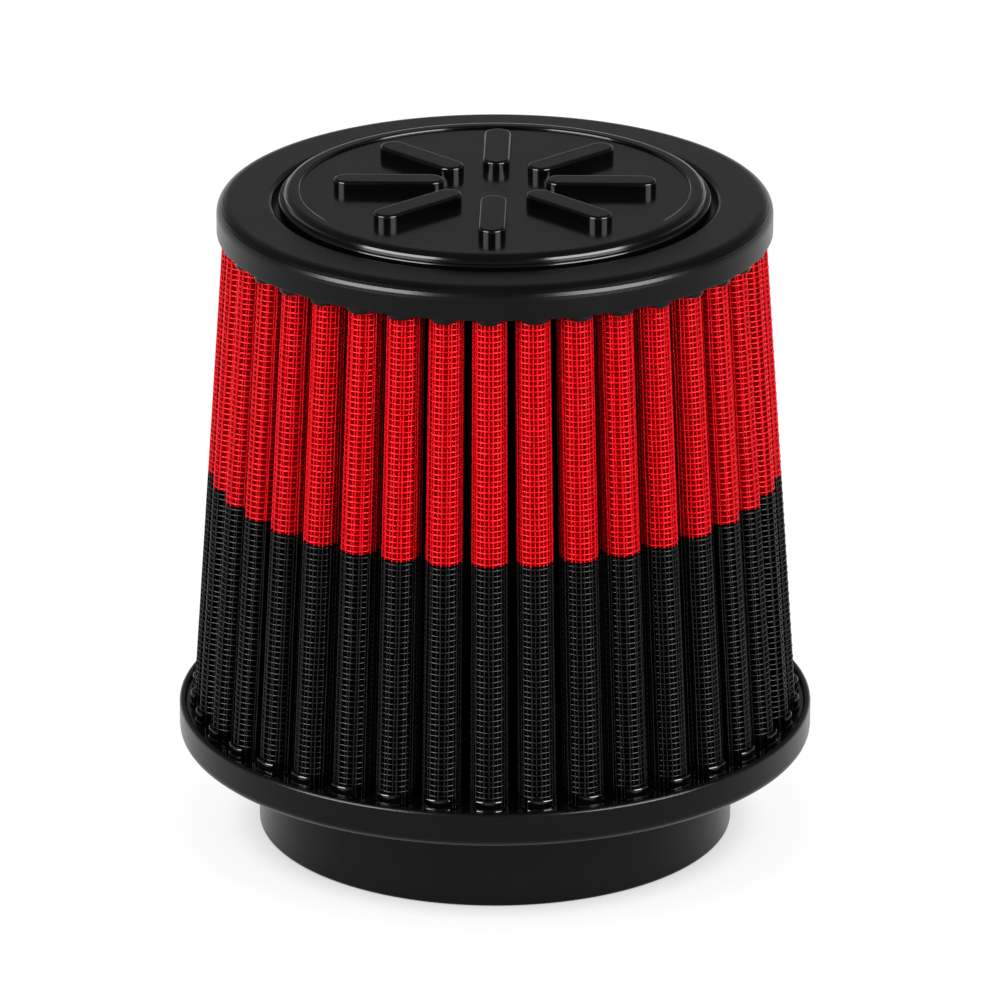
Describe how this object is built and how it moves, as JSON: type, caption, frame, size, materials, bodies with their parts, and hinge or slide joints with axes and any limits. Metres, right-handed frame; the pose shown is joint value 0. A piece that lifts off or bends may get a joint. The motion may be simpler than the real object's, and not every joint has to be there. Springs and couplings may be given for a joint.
{
  "type": "cone air filter",
  "caption": "Tapered round air filter with a pleated cone of red and black wire mesh between a black moulded base with a slip-on neck and a moulded cap with a ribbed plate.",
  "frame": {"origin": "on the filter's axis, in the plane of the neck's mouth", "axes": "+Z along the filter's axis, from the neck's mouth to the cap"},
  "size_m": [0.152, 0.152, 0.1621],
  "materials": {
    "moulded_rubber": "black moulded polyurethane with a satin skin",
    "plate_plastic": "black moulded plate, semi-gloss",
    "red_wire": "bright red coated wire mesh",
    "black_wire": "black coated wire mesh with a slight gloss",
    "gauze": "layered dark cotton gauze",
    "plain_wire": "plain woven wire mesh"
  },
  "bodies": {
    "root": {"base_flange": "moulded_rubber", "top_cap": "moulded_rubber", "cap_plate": "plate_plastic", "upper_screen": "red_wire", "lower_screen": "black_wire", "gauze_media": "gauze", "inner_screen": "plain_wire"}
  },
  "joints": []
}
